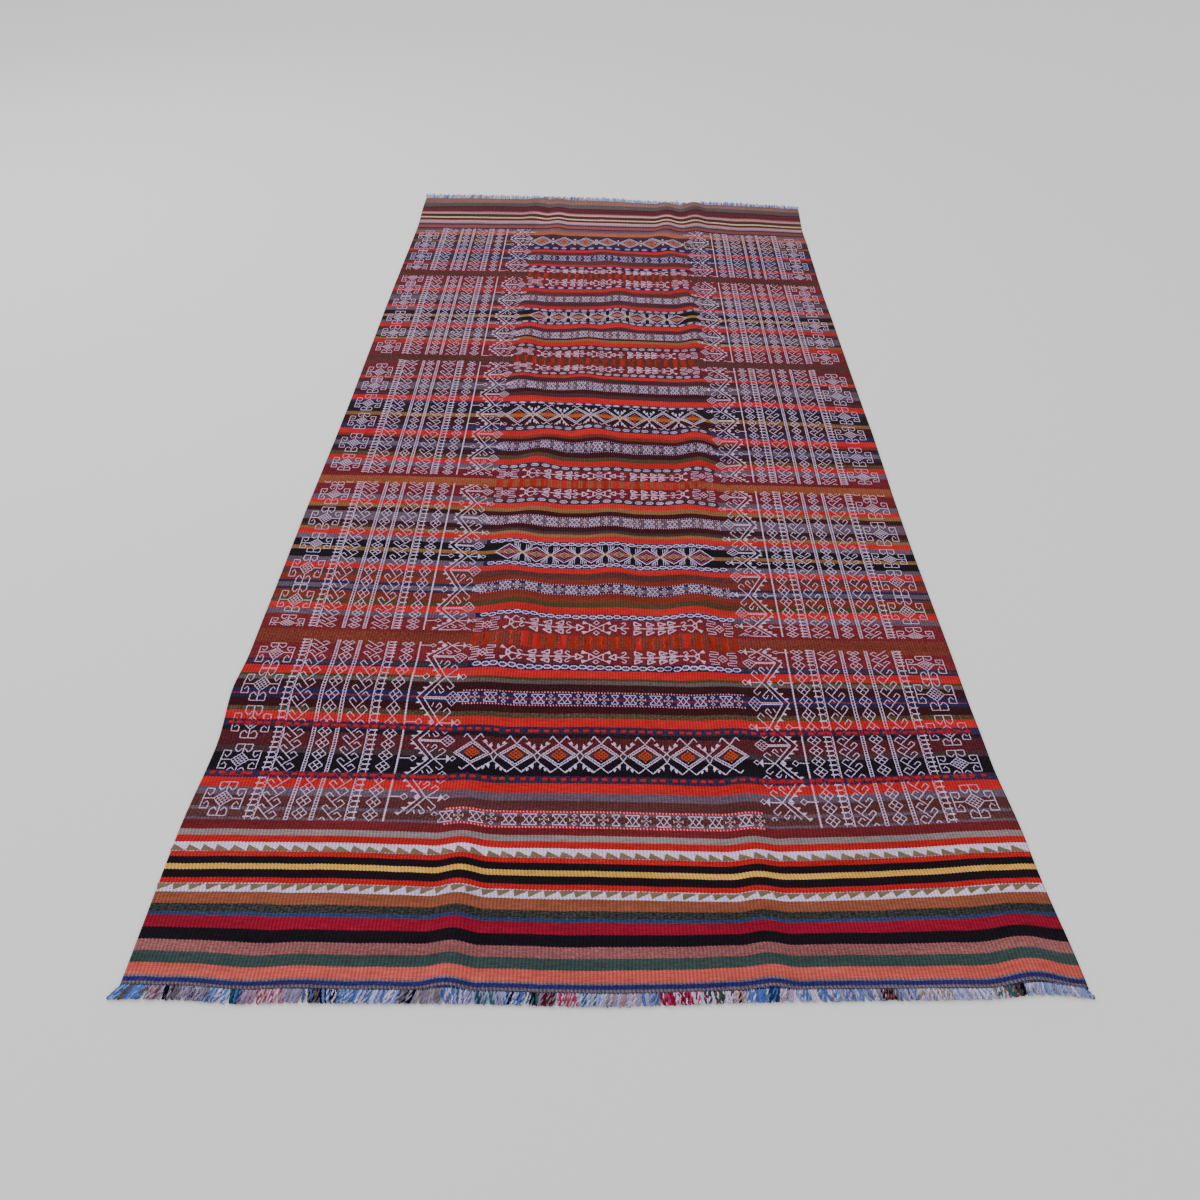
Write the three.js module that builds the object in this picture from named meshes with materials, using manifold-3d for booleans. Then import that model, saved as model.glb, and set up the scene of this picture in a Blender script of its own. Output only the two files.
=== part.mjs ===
// A soumak rug, 1.6 m by 3.5 m, lying on a floor: one woven cloth with a row of short looped
// fringe at each end. Sizes are in millimetres. X runs across the rug, Y along it, Z up, and the
// origin is the middle of its footprint on the floor.
import * as THREE from "three";
import { mergeVertices } from "three/addons/utils/BufferGeometryUtils.js";
import Module from "manifold-3d";

const wasm = await Module();
wasm.setup();

// Driving sizes of the cloth.
const LENGTH = 3520;
const WIDTH = 1600;
const THICKNESS = 3;

// The origin within the nominal rectangle: right of its centre line and beyond its middle,
// because the fringe is longer at the far end and fans out more on the right.
const ORIGIN = { across: 2, along: LENGTH / 2 + 8 };

// Mesh steps: fine across the rippled field, wider across the flat side panels.
const FIELD_HALF = 420;
const FIELD_STEP = 28;
const PANEL_STEP = 76;
const ROW_STEP = 88;

// Where the selvedges run: half widths left and right of the centre line, measured along the
// rug from its near end. The weaver drew the cloth in by 2 to 3 cm towards the middle.
const SELVEDGES = [
  { along: 0, left: 806, right: 806 },
  { along: 280, left: 809, right: 793 },
  { along: 500, left: 800, right: 781 },
  { along: 660, left: 813, right: 779 },
  { along: 760, left: 806, right: 779 },
  { along: 1200, left: 805, right: 776 },
  { along: 1800, left: 800, right: 784 },
  { along: 2600, left: 803, right: 789 },
  { along: 3200, left: 801, right: 800 },
  { along: 3520, left: 812, right: 818 },
];

// Where the two ends run: how far each lies from the nominal end, measured across the rug.
// The weft is beaten harder on the right, so that side is shorter.
const ENDS = [
  { across: -800, near: 0, far: 4 },
  { across: -400, near: -2, far: 8 },
  { across: 0, near: -3, far: -6 },
  { across: 300, near: 3, far: -12 },
  { across: 500, near: 8, far: -14 },
  { across: 700, near: 24, far: -20 },
  { across: 800, near: 32, far: -28 },
];

// Ridges where the cloth stands off the floor, nearly all along the warp. Each is a row of
// stations along its crest: where it is along and across the rug, how high the cloth stands
// there, and how far to each side it comes back down to the floor.
const RIDGES = [
  [
    { along: -60, across: -266, rise: 16, reach: 52 },
    { along: 200, across: -266, rise: 16, reach: 52 },
    { along: 400, across: -280, rise: 8, reach: 60 },
    { along: 680, across: -262, rise: 4, reach: 80 },
    { along: 770, across: -250, rise: 12, reach: 90 },
    { along: 860, across: -216, rise: 13, reach: 95 },
    { along: 1000, across: -222, rise: 15, reach: 95 },
    { along: 1060, across: -246, rise: 9, reach: 85 },
    { along: 1200, across: -240, rise: 10, reach: 80 },
    { along: 1320, across: -192, rise: 8, reach: 80 },
    { along: 1440, across: -200, rise: 6, reach: 85 },
    { along: 1550, across: -200, rise: 15, reach: 80 },
    { along: 1640, across: -182, rise: 9, reach: 75 },
    { along: 1840, across: -225, rise: 2, reach: 75 },
    { along: 2000, across: -285, rise: 9, reach: 70 },
    { along: 2270, across: -280, rise: 13, reach: 65 },
    { along: 2400, across: -280, rise: 7, reach: 65 },
    { along: 2700, across: -290, rise: 3, reach: 70 },
    { along: 3080, across: -260, rise: 2, reach: 60 },
    { along: 3240, across: -220, rise: 5, reach: 50 },
    { along: 3580, across: -222, rise: 6, reach: 50 },
  ],
  [
    { along: 850, across: 12, rise: 0, reach: 80 },
    { along: 1000, across: 15, rise: 9, reach: 75 },
    { along: 1200, across: 8, rise: 7, reach: 75 },
    { along: 1320, across: 10, rise: 6, reach: 75 },
    { along: 1430, across: 10, rise: 1, reach: 75 },
    { along: 1550, across: 8, rise: 5, reach: 75 },
    { along: 1640, across: -32, rise: 10, reach: 80 },
    { along: 1710, across: -50, rise: 12, reach: 80 },
    { along: 1850, across: -62, rise: 1, reach: 80 },
    { along: 2000, across: -86, rise: 8, reach: 80 },
    { along: 2140, across: -80, rise: 3, reach: 80 },
    { along: 2270, across: -72, rise: 7, reach: 80 },
    { along: 2480, across: -112, rise: 0, reach: 80 },
  ],
  [
    { along: 2230, across: 30, rise: 0, reach: 75 },
    { along: 2390, across: 30, rise: 11, reach: 75 },
    { along: 2530, across: 34, rise: 7, reach: 75 },
    { along: 2650, across: 30, rise: 9, reach: 72 },
    { along: 2790, across: 8, rise: 4, reach: 75 },
    { along: 3030, across: -26, rise: 5, reach: 75 },
    { along: 3140, across: -30, rise: 0, reach: 75 },
  ],
  [
    { along: -60, across: 276, rise: 13, reach: 50 },
    { along: 200, across: 276, rise: 11, reach: 52 },
    { along: 420, across: 276, rise: 8, reach: 55 },
    { along: 680, across: 250, rise: 4, reach: 75 },
    { along: 770, across: 178, rise: 8, reach: 95 },
    { along: 860, across: 196, rise: 13, reach: 95 },
    { along: 980, across: 210, rise: 15, reach: 90 },
    { along: 1060, across: 184, rise: 5, reach: 80 },
    { along: 1240, across: 230, rise: 6, reach: 75 },
    { along: 1330, across: 208, rise: 9, reach: 80 },
    { along: 1430, across: 248, rise: 8, reach: 75 },
    { along: 1550, across: 256, rise: 14, reach: 72 },
    { along: 1650, across: 256, rise: 17, reach: 74 },
    { along: 1720, across: 250, rise: 13, reach: 74 },
    { along: 1850, across: 250, rise: 1, reach: 70 },
    { along: 2000, across: 290, rise: 5, reach: 60 },
    { along: 2150, across: 290, rise: 5, reach: 55 },
    { along: 2290, across: 291, rise: 11, reach: 58 },
    { along: 2400, across: 290, rise: 13, reach: 58 },
    { along: 2540, across: 290, rise: 9, reach: 58 },
    { along: 2660, across: 272, rise: 13, reach: 60 },
    { along: 2820, across: 262, rise: 3, reach: 60 },
    { along: 3030, across: 235, rise: 9, reach: 62 },
    { along: 3130, across: 204, rise: 8, reach: 70 },
    { along: 3240, across: 238, rise: 10, reach: 58 },
    { along: 3580, across: 246, rise: 9, reach: 56 },
  ],
  [
    { along: 3140, across: 356, rise: 0, reach: 58 },
    { along: 3240, across: 360, rise: 7, reach: 60 },
    { along: 3360, across: 360, rise: 11, reach: 60 },
    { along: 3470, across: 362, rise: 15, reach: 62 },
    { along: 3580, across: 364, rise: 15, reach: 62 },
  ],
  [
    { along: 3260, across: -332, rise: 0, reach: 60 },
    { along: 3360, across: -326, rise: 6, reach: 62 },
    { along: 3580, across: -312, rise: 6, reach: 65 },
  ],
  [
    { along: -60, across: 715, rise: 14, reach: 70 },
    { along: 90, across: 725, rise: 9, reach: 70 },
    { along: 260, across: 740, rise: 0, reach: 60 },
  ],
];

// The fringe: strands in one row, rooted in a narrow strip that is parted from the cloth.
const GAP = 0.3;
const STRIP_WIDTH = 7;
const STRIP_THICKNESS = 3.2;
const STRAND_PITCH = 12.5;
const STRAND_WIDTH = 8.4;
const STRAND_THICKNESS = 4;
const TIP_SHARE = 0.62;
const ROOT_DEPTH = 3;
const FRINGES = [
  { name: "near_fringe", side: -1, reach: 27, spread: 5, lean: 3, flare: 22 },
  { name: "far_fringe", side: 1, reach: 38, spread: 7, lean: 4, flare: 10 },
];
const FLARE_START = 0.94;

const WOOL = { color: 0x8c3a34, roughness: 0.95, metalness: 0 };
const FRINGE_YARN = { color: 0xa9b3cf, roughness: 0.95, metalness: 0 };

// A value at one place, from rows that hold it at several: smooth between them, level past them.
function between(rows, key, at, value) {
  const last = rows.length - 1;
  if (at <= rows[0][key]) return rows[0][value];
  if (at >= rows[last][key]) return rows[last][value];
  const i = rows.findIndex((row) => row[key] > at) - 1;
  const share = (at - rows[i][key]) / (rows[i + 1][key] - rows[i][key]);
  const ease = share * share * (3 - 2 * share);
  return rows[i][value] + ease * (rows[i + 1][value] - rows[i][value]);
}

// How far one ridge lifts the cloth: a cosine hump across its crest, and nothing past its foot.
function lift(ridge, across, along) {
  if (along <= ridge[0].along || along >= ridge[ridge.length - 1].along) return 0;
  const crest = between(ridge, "along", along, "across");
  const off = (across - crest) / between(ridge, "along", along, "reach");
  if (Math.abs(off) >= 1) return 0;
  return (between(ridge, "along", along, "rise") * (1 + Math.cos(Math.PI * off))) / 2;
}

// The height of the cloth's underside above the floor.
function height(across, along) {
  return RIDGES.reduce((sum, ridge) => sum + lift(ridge, across, along), 0);
}

// A point of the cloth, from its nominal place across and along, at the underside or above it.
function place(across, along, above) {
  const share = along / LENGTH;
  const near = between(ENDS, "across", across, "near");
  const far = between(ENDS, "across", across, "far");
  const y = along + near * (1 - share) + far * share;
  const side = across < 0 ? "left" : "right";
  const x = (across / (WIDTH / 2)) * between(SELVEDGES, "along", along, side);
  return new THREE.Vector3(x - ORIGIN.across, y - ORIGIN.along, height(x, y) + above);
}

// Stations from one end to the other, no further apart than a step.
function stations(from, to, step) {
  const count = Math.ceil((to - from) / step);
  return Array.from({ length: count + 1 }, (_, i) => from + ((to - from) * i) / count);
}

// A closed slab over a grid of points, given as a function of column, row and layer.
function slab(columns, rows, point) {
  const positions = [];
  const index = [];
  const at = (c, r, layer) => (layer * rows + r) * columns + c;
  for (const layer of [0, 1]) {
    for (let r = 0; r < rows; r += 1) {
      for (let c = 0; c < columns; c += 1) positions.push(...point(c, r, layer).toArray());
    }
  }
  const quad = (a, b, c, d) => index.push(a, b, c, a, c, d);
  for (let r = 0; r + 1 < rows; r += 1) {
    for (let c = 0; c + 1 < columns; c += 1) {
      quad(at(c, r, 1), at(c + 1, r, 1), at(c + 1, r + 1, 1), at(c, r + 1, 1));
      quad(at(c, r, 0), at(c, r + 1, 0), at(c + 1, r + 1, 0), at(c + 1, r, 0));
    }
  }
  const lastRow = rows - 1;
  const lastColumn = columns - 1;
  for (let c = 0; c < lastColumn; c += 1) {
    quad(at(c, 0, 0), at(c + 1, 0, 0), at(c + 1, 0, 1), at(c, 0, 1));
    quad(at(c, lastRow, 0), at(c, lastRow, 1), at(c + 1, lastRow, 1), at(c + 1, lastRow, 0));
  }
  for (let r = 0; r < lastRow; r += 1) {
    quad(at(0, r, 0), at(0, r, 1), at(0, r + 1, 1), at(0, r + 1, 0));
    quad(at(lastColumn, r, 0), at(lastColumn, r + 1, 0), at(lastColumn, r + 1, 1), at(lastColumn, r, 1));
  }
  const geometry = new THREE.BufferGeometry();
  geometry.setAttribute("position", new THREE.Float32BufferAttribute(positions, 3));
  geometry.setIndex(index);
  return geometry;
}

// The columns that the cloth and both strips share, so their facing edges run side by side.
const COLUMNS = [
  ...stations(-WIDTH / 2, -FIELD_HALF, PANEL_STEP).slice(0, -1),
  ...stations(-FIELD_HALF, FIELD_HALF, FIELD_STEP),
  ...stations(FIELD_HALF, WIDTH / 2, PANEL_STEP).slice(1),
];

// The woven cloth: one thin slab that follows the ridges.
function clothGeometry() {
  const rows = stations(0, LENGTH, ROW_STEP);
  return slab(COLUMNS.length, rows.length, (c, r, layer) =>
    place(COLUMNS[c], rows[r], layer * THICKNESS),
  );
}

// A geometry as a manifold solid, for joining.
function solidOf(geometry) {
  const bare = mergeVertices(geometry.clone(), 1e-4);
  const mesh = new wasm.Mesh({
    numProp: 3,
    vertProperties: new Float32Array(bare.attributes.position.array),
    triVerts: new Uint32Array(bare.index.array),
  });
  return new wasm.Manifold(mesh);
}

// The joined solid as a geometry again.
function geometryOf(solid) {
  const mesh = solid.getMesh();
  const geometry = new THREE.BufferGeometry();
  geometry.setAttribute("position", new THREE.BufferAttribute(mesh.vertProperties, 3));
  geometry.setIndex(new THREE.BufferAttribute(mesh.triVerts, 1));
  geometry.computeVertexNormals();
  return geometry;
}

// The outermost line of the cloth at one end, moved outwards along the rug.
function endLine(fringe, across, outwards, above) {
  const p = place(across, fringe.side < 0 ? 0 : LENGTH, above);
  p.y += fringe.side * outwards;
  return p;
}

// The strip that the strands are rooted in.
function stripGeometry(fringe) {
  const edges = fringe.side < 0 ? [GAP + STRIP_WIDTH, GAP] : [GAP, GAP + STRIP_WIDTH];
  return slab(COLUMNS.length, edges.length, (c, r, layer) =>
    endLine(fringe, COLUMNS[c], edges[r], layer * STRIP_THICKNESS),
  );
}

// One strand: four sides, from inside the strip to a narrower tip that rests on the floor. Near
// the corners the strands fan outwards.
function strandGeometry(fringe, across, order) {
  const wave = Math.sin(order * 2.4) + 0.6 * Math.sin(order * 5.1);
  const length = fringe.reach + (fringe.spread * wave) / 2;
  const share = Math.abs(across) / (WIDTH / 2);
  const fan = Math.max(0, (share - FLARE_START) / (1 - FLARE_START)) * fringe.flare;
  const sway = fringe.lean * Math.sin(order * 1.7) + Math.sign(across) * fan;
  const root = GAP + STRIP_WIDTH - ROOT_DEPTH;
  return slab(2, 2, (c, r, layer) => {
    const tip = fringe.side < 0 ? r === 0 : r === 1;
    const width = STRAND_WIDTH * (tip ? TIP_SHARE : 1);
    const deep = STRAND_THICKNESS * (tip ? TIP_SHARE : 1);
    const p = endLine(fringe, across, tip ? GAP + STRIP_WIDTH + length : root, 0);
    p.x += (c - 0.5) * width + (tip ? sway : 0);
    p.z = (tip ? 0 : p.z) + layer * deep;
    return p;
  });
}

// The strip and all its strands as one solid.
function fringeGeometry(fringe) {
  const half = (WIDTH - STRAND_PITCH) / 2;
  const strands = stations(-half, half, STRAND_PITCH).map((across, order) =>
    solidOf(strandGeometry(fringe, across, order)),
  );
  return geometryOf(wasm.Manifold.union([solidOf(stripGeometry(fringe)), ...strands]));
}

function named(name, geometry, finish) {
  const mesh = new THREE.Mesh(geometry, new THREE.MeshStandardMaterial(finish));
  mesh.name = name;
  return mesh;
}

const rug = new THREE.Group();
rug.add(named("rug_cloth", clothGeometry(), WOOL));
for (const fringe of FRINGES) rug.add(named(fringe.name, fringeGeometry(fringe), FRINGE_YARN));

export default rug;
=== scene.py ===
"""A flat-woven soumak rug, 1.6 m by 3.5 m, laid on a floor.

One thin striped cloth follows the ridges of the CAD solid. The supplementary weft patterns are
raised yarn ribbons on it, charted, and each end carries a row of short looped fringe.
Tables are in millimetres: across is measured from the rug's centre line, along from its near
end. The frame and every object are in metres.
"""
import math

import bmesh
import bpy
import numpy as np
from mathutils import Matrix


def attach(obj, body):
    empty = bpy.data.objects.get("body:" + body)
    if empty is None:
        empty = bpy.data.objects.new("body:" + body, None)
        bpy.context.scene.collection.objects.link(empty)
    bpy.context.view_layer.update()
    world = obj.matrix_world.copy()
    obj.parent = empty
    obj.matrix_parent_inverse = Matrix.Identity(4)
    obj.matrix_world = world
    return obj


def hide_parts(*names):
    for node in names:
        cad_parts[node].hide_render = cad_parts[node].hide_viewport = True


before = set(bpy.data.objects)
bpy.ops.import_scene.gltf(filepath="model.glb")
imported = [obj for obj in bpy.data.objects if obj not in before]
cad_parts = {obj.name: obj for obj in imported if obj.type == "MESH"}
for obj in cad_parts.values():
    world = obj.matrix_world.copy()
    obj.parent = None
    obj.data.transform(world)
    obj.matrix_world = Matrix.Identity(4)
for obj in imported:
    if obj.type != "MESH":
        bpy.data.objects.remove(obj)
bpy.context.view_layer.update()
rng = np.random.default_rng(11)

MM = 0.001
# The cloth's half width, the frame's origin on it, where it starts and ends along the rug, how
# high its face lies, its thickness, its flat size in metres, one warp pair and one rib of two.
HALF_WIDTH = 800
ORIGIN_ACROSS = 2
ORIGIN_ALONG = 1768
START = -8
END = 3550
CLOTH_TOP = 2.5
CLOTH_THICKNESS = 2.4
CELL = 3.2
RIB = 6.4

# Dyed and undyed yarns, most of them named for their colour.
YARNS = {
    "white": "#DECDED", "cream": "#D6C6A4", "scarlet": "#C02426", "red": "#B82224", "coral": "#CC5850",
    "rose": "#9A5A5C", "crimson": "#90122E", "garnet": "#6C1424", "black": "#150F1A",
    "green": "#354848", "rust": "#93503A", "steel": "#233C66", "gold": "#E2A84E", "grey": "#908386",
    "khaki": "#8A6038", "umber": "#55282A", "maroon": "#6E1F26", "sable": "#340A14", "plum": "#3E2830",
    "olive": "#4A3A22", "brick": "#7A2A1C", "purple": "#645064", "navy": "#1C1B48", "tan": "#9C7048",
    "pink": "#C04468", "blush": "#C8989C", "orange": "#C8481E", "sky": "#5A7AC8", "ice": "#94ABE0",
    "lilac": "#A8A2CC", "teal": "#2F6670", "wine": "#601628", "salmon": "#9A6A64", "sage": "#5E5254",
    "ash": "#6E6672", "mauve": "#9C86A2", "magenta": "#B4386C", "beige": "#A69488", "tooth": "#7A6C56",
    "block": "#98281C", "russet": "#984A28", "madder": "#944850", "peach": "#A85C48", "pine": "#1C2A2A",
    "indigo": "#24246C", "bark": "#40202A", "claret": "#500F1E", "cardinal": "#741A24",
    "oxblood": "#561A14",
}

# Where the selvedges run: along, half width left, half width right.
SELVEDGES = [
    (0, 806, 806), (280, 809, 793), (500, 800, 781), (660, 813, 779), (760, 806, 779),
    (1200, 805, 776), (1800, 800, 784), (2600, 803, 789), (3200, 801, 800), (3520, 812, 818),
]

# Ridges where the cloth stands off the floor: along, across, rise, reach to each side.
RIDGES = [
    [
        (-60, -266, 16, 52), (200, -266, 16, 52), (400, -280, 8, 60), (680, -262, 4, 80),
        (770, -250, 12, 90), (860, -216, 13, 95), (1000, -222, 15, 95), (1060, -246, 9, 85),
        (1200, -240, 10, 80), (1320, -192, 8, 80), (1440, -200, 6, 85), (1550, -200, 15, 80),
        (1640, -182, 9, 75), (1840, -225, 2, 75), (2000, -285, 9, 70), (2270, -280, 13, 65),
        (2400, -280, 7, 65), (2700, -290, 3, 70), (3080, -260, 2, 60), (3240, -220, 5, 50),
        (3580, -222, 6, 50),
    ],
    [
        (850, 12, 0, 80), (1000, 15, 9, 75), (1200, 8, 7, 75), (1320, 10, 6, 75),
        (1430, 10, 1, 75), (1550, 8, 5, 75), (1640, -32, 10, 80), (1710, -50, 12, 80),
        (1850, -62, 1, 80), (2000, -86, 8, 80), (2140, -80, 3, 80), (2270, -72, 7, 80),
        (2480, -112, 0, 80),
    ],
    [
        (2230, 30, 0, 75), (2390, 30, 11, 75), (2530, 34, 7, 75), (2650, 30, 9, 72),
        (2790, 8, 4, 75), (3030, -26, 5, 75), (3140, -30, 0, 75),
    ],
    [
        (-60, 276, 13, 50), (200, 276, 11, 52), (420, 276, 8, 55), (680, 250, 4, 75),
        (770, 178, 8, 95), (860, 196, 13, 95), (980, 210, 15, 90), (1060, 184, 5, 80),
        (1240, 230, 6, 75), (1330, 208, 9, 80), (1430, 248, 8, 75), (1550, 256, 14, 72),
        (1650, 256, 17, 74), (1720, 250, 13, 74), (1850, 250, 1, 70), (2000, 290, 5, 60),
        (2150, 290, 5, 55), (2290, 291, 11, 58), (2400, 290, 13, 58), (2540, 290, 9, 58),
        (2660, 272, 13, 60), (2820, 262, 3, 60), (3030, 235, 9, 62), (3130, 204, 8, 70),
        (3240, 238, 10, 58), (3580, 246, 9, 56),
    ],
    [
        (3140, 356, 0, 58), (3240, 360, 7, 60), (3360, 360, 11, 60), (3470, 362, 15, 62),
        (3580, 364, 15, 62),
    ],
    [(3260, -332, 0, 60), (3360, -326, 6, 62), (3580, -312, 6, 65)],
    [(-60, 715, 14, 70), (90, 725, 9, 70), (260, 740, 0, 60)],
]

# How far the weft runs ahead of a straight line, at seven places across the rug: the stripes
# were beaten unevenly, so they bow and lean. Rows: along, then the shift at each place.
WEFT_ACROSS = (-780, -440, -240, 0, 250, 440, 770)
WEFT_SHIFT = [
    (30, 4, 1, 2, 0, 10, 15, 22), (211, 2, 4, -1, -2, -4, 3, 27), (437, 2, 0, -3, -2, -3, 3, 23),
    (563, 9, 1, -4, -2, -4, 0, 12), (703, 1, 0, -3, -3, -6, -4, -2), (816, 9, 2, 2, -3, -2, -6, -5),
    (931, 6, -5, -1, -4, -7, -9, -6), (1208, 14, 3, -7, -11, -14, -17, -22),
    (1416, 4, 2, -6, -5, -9, -15, -24), (1555, 15, 2, -2, -11, -13, -15, -24),
    (1704, -10, -17, -13, -13, -30, -41, -50), (1860, 5, 3, 6, -5, -19, -9, -37),
    (2016, -18, -9, 1, -5, -17, -16, -34), (2124, 4, 0, -6, -8, -9, -21, -27),
    (2222, 2, -4, -9, -8, -14, -25, -31), (2370, -16, -16, -17, -15, -25, -26, -41),
    (2514, -18, -12, -19, -13, -24, -25, -36), (2660, -26, -20, -23, -20, -28, -44, -62),
    (2806, -2, -3, -4, -14, -19, -29, -48), (3006, -12, -12, -14, -13, -26, -35, -60),
    (3228, -1, 3, 8, -3, -3, -12, -40), (3339, 14, 16, 11, 0, -6, -7, -45),
    (3480, -12, 6, -6, -15, -30, -24, -62), (3534, 6, 10, 5, -3, -26, -18, -48),
    (3552, 17, 20, 15, 7, -22, -18, -50),
]
# Places between them where a few stripes swell or dip: along, across, reach both ways, shift.
BOWS = [
    (30, -600, 120, 90, -5), (30, 715, 150, 95, 9), (1560, 330, 180, 60, -8),
    (2400, 330, 200, 70, 9), (3300, 520, 260, 100, -12), (3500, 330, 160, 75, -9),
]
# The tables take the cloth as level with the floor. It lies higher, so each place is nearer to
# the eye by this share of how far it is from it.
SIGHT_SLOPE = 0.0021
EYE_BEHIND = 722

# The stripes of the ground weave: where each ends along the rug, its yarn, how mottled it is in
# tenths.
STRIPES = [
    (-4.5, "navy", 3), (1.5, "ash", 9), (8, "indigo", 4), (12, "ash", 9), (34, "coral", 2),
    (55, "green", 3), (76, "rose", 8), (99, "black", 1), (121, "crimson", 1), (130, "steel", 5),
    (145, "pine", 9), (167, "rust", 3), (185, "white", 1), (197, "red", 1), (213, "black", 1),
    (225, "gold", 2), (240, "black", 1), (251, "red", 1), (272, "white", 1), (286, "red", 1),
    (299, "grey", 4), (321, "maroon", 2), (327, "purple", 7), (344, "umber", 8), (352, "purple", 8),
    (378, "umber", 4), (397, "purple", 6), (420, "scarlet", 1), (437, "navy", 6), (483, "black", 1),
    (497, "plum", 6), (535, "claret", 5), (547, "black", 3), (565, "navy", 6), (588, "scarlet", 1),
    (602, "olive", 10), (628, "sable", 2), (640, "navy", 3), (645, "crimson", 6), (659, "navy", 3),
    (686, "sable", 3), (697, "sage", 9), (705, "olive", 4), (727, "scarlet", 1), (733, "navy", 2),
    (741, "plum", 6), (747, "navy", 4), (793, "cardinal", 5), (838, "brick", 8), (891, "cardinal", 5),
    (909, "purple", 7), (931, "scarlet", 2), (950, "olive", 5), (979, "brick", 4), (985, "navy", 4),
    (1001, "purple", 7), (1012, "navy", 4), (1035, "brick", 4), (1057, "umber", 6),
    (1077, "scarlet", 1), (1096, "purple", 7), (1124, "black", 1), (1138, "khaki", 5),
    (1165, "black", 1), (1184, "purple", 7), (1204, "scarlet", 1), (1217, "khaki", 5),
    (1226, "plum", 6), (1246, "sable", 3), (1286, "purple", 6), (1304, "sable", 3), (1323, "khaki", 5),
    (1342, "scarlet", 1), (1365, "purple", 8), (1414, "garnet", 4), (1452, "russet", 9),
    (1499, "garnet", 4), (1521, "purple", 7), (1546, "red", 1), (1565, "olive", 8), (1594, "sable", 3),
    (1604, "navy", 5), (1632, "purple", 7), (1643, "navy", 5), (1664, "sable", 3), (1680, "brick", 6),
    (1708, "scarlet", 1), (1733, "navy", 6), (1776, "sable", 2), (1794, "khaki", 4), (1842, "black", 2),
    (1856, "navy", 6), (1889, "scarlet", 1), (1909, "bark", 5), (1932, "sable", 3), (1980, "purple", 8),
    (2007, "bark", 4), (2026, "scarlet", 1), (2049, "plum", 8), (2099, "garnet", 4),
    (2147, "oxblood", 9), (2201, "garnet", 4), (2228, "garnet", 6), (2258, "red", 1),
    (2273, "khaki", 4), (2288, "sable", 2), (2336, "purple", 8), (2364, "bark", 5),
    (2393, "scarlet", 1), (2414, "purple", 8), (2440, "black", 1), (2459, "tan", 3), (2492, "black", 1),
    (2516, "purple", 6), (2537, "red", 1), (2576, "bark", 5), (2621, "purple", 8), (2656, "umber", 6),
    (2684, "red", 1), (2702, "purple", 5), (2766, "cardinal", 4), (2808, "oxblood", 9),
    (2850, "garnet", 4), (2871, "navy", 5), (2888, "red", 1), (2928, "umber", 5), (2979, "navy", 5),
    (3009, "umber", 5), (3030, "scarlet", 1), (3066, "navy", 6), (3100, "bark", 4), (3110, "khaki", 5),
    (3150, "bark", 4), (3164, "plum", 5), (3192, "peach", 3), (3208, "rose", 8), (3224, "purple", 9),
    (3233, "sable", 3), (3260, "madder", 4), (3274, "plum", 10), (3284, "mauve", 8), (3306, "blush", 1),
    (3319, "garnet", 3), (3326, "black", 1), (3340, "cream", 2), (3346, "black", 1),
    (3374, "oxblood", 5), (3398, "blush", 1), (3408, "rose", 8), (3464, "wine", 5), (3476, "bark", 3),
    (3512, "sage", 6), (3600, "salmon", 9),
]

# Patterned bands of the middle field, in runs: the kinds from near to far, then where along the
# rug the first starts and each of them ends.
BANDS = [
    ("sprig", 321, 350), ("lozenge", 437, 545), ("sprig", 628, 659),
    ("rope tree block tree rope", 727, 747, 793, 838, 891, 909), ("sprig", 981, 1010),
    ("rope diamond rope", 1077, 1096, 1165, 1184), ("sprig", 1252, 1282),
    ("rope tree block tree rope", 1342, 1365, 1414, 1452, 1499, 1521), ("sprig", 1597, 1640),
    ("rope lozenge rope", 1708, 1733, 1842, 1856), ("sprig", 1936, 1976), ("rope", 2027, 2050),
    ("tree block tree rope", 2051, 2099, 2147, 2201, 2228), ("sprig", 2291, 2333),
    ("rope diamond rope", 2393, 2414, 2492, 2516), ("sprig", 2579, 2619),
    ("rope tree block tree rope", 2684, 2702, 2766, 2808, 2850, 2871), ("sprig", 2931, 2976),
    ("rope", 3034, 3062), ("lozenge", 3064, 3152),
]

# The side panels run in zones, parted by plain stripes. Each zone's rows say which cell of the
# charts lies where along the rug: the weft is packed closer in some stripes than in others.
PANEL_ZONES = [
    [(-18, 322), (0, 381), (15, 430), (30, 476), (45, 523), (60, 571), (75, 640), (90, 702),
     (105, 762), (120, 795), (125, 806)],
    [(-15, 846), (0, 880), (15, 925), (30, 992), (45, 1062), (60, 1116), (75, 1157),
     (90, 1212), (105, 1273), (120, 1338), (135, 1392), (148, 1424)],
    [(-13, 1465), (0, 1497), (15, 1547), (30, 1612), (45, 1692), (60, 1744), (75, 1790),
     (90, 1834), (105, 1900), (120, 1964), (135, 2030), (150, 2083), (161, 2109)],
    [(0, 2151), (15, 2205), (30, 2265), (45, 2322), (60, 2398), (75, 2452), (90, 2518),
     (105, 2580), (120, 2648), (135, 2712), (149, 2769)],
    [(-1, 2816), (15, 2878), (30, 2946), (45, 3014), (60, 3078), (75, 3132), (90, 3192),
     (98, 3224)],
]
# Where the tree column of the first zone starts.
TREE_FOOT = (-13, 338)
# Where along the rug each hooked cross of the outer columns has its middle, zone by zone.
CROSSES_AT = [
    (369, 463, 554, 670, 763), (856, 938, 1053, 1145, 1249, 1362, 1440),
    (1505, 1612, 1746, 1834, 1952, 2044), (2198, 2312, 2432, 2552, 2665, 2755),
    (2842, 2950, 3060, 3150),
]
# Rows of dashes where the panel yarn turns red.
DASH_ROWS = [(421, 437), (547, 564)]


# Smooth values from tables.

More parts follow.
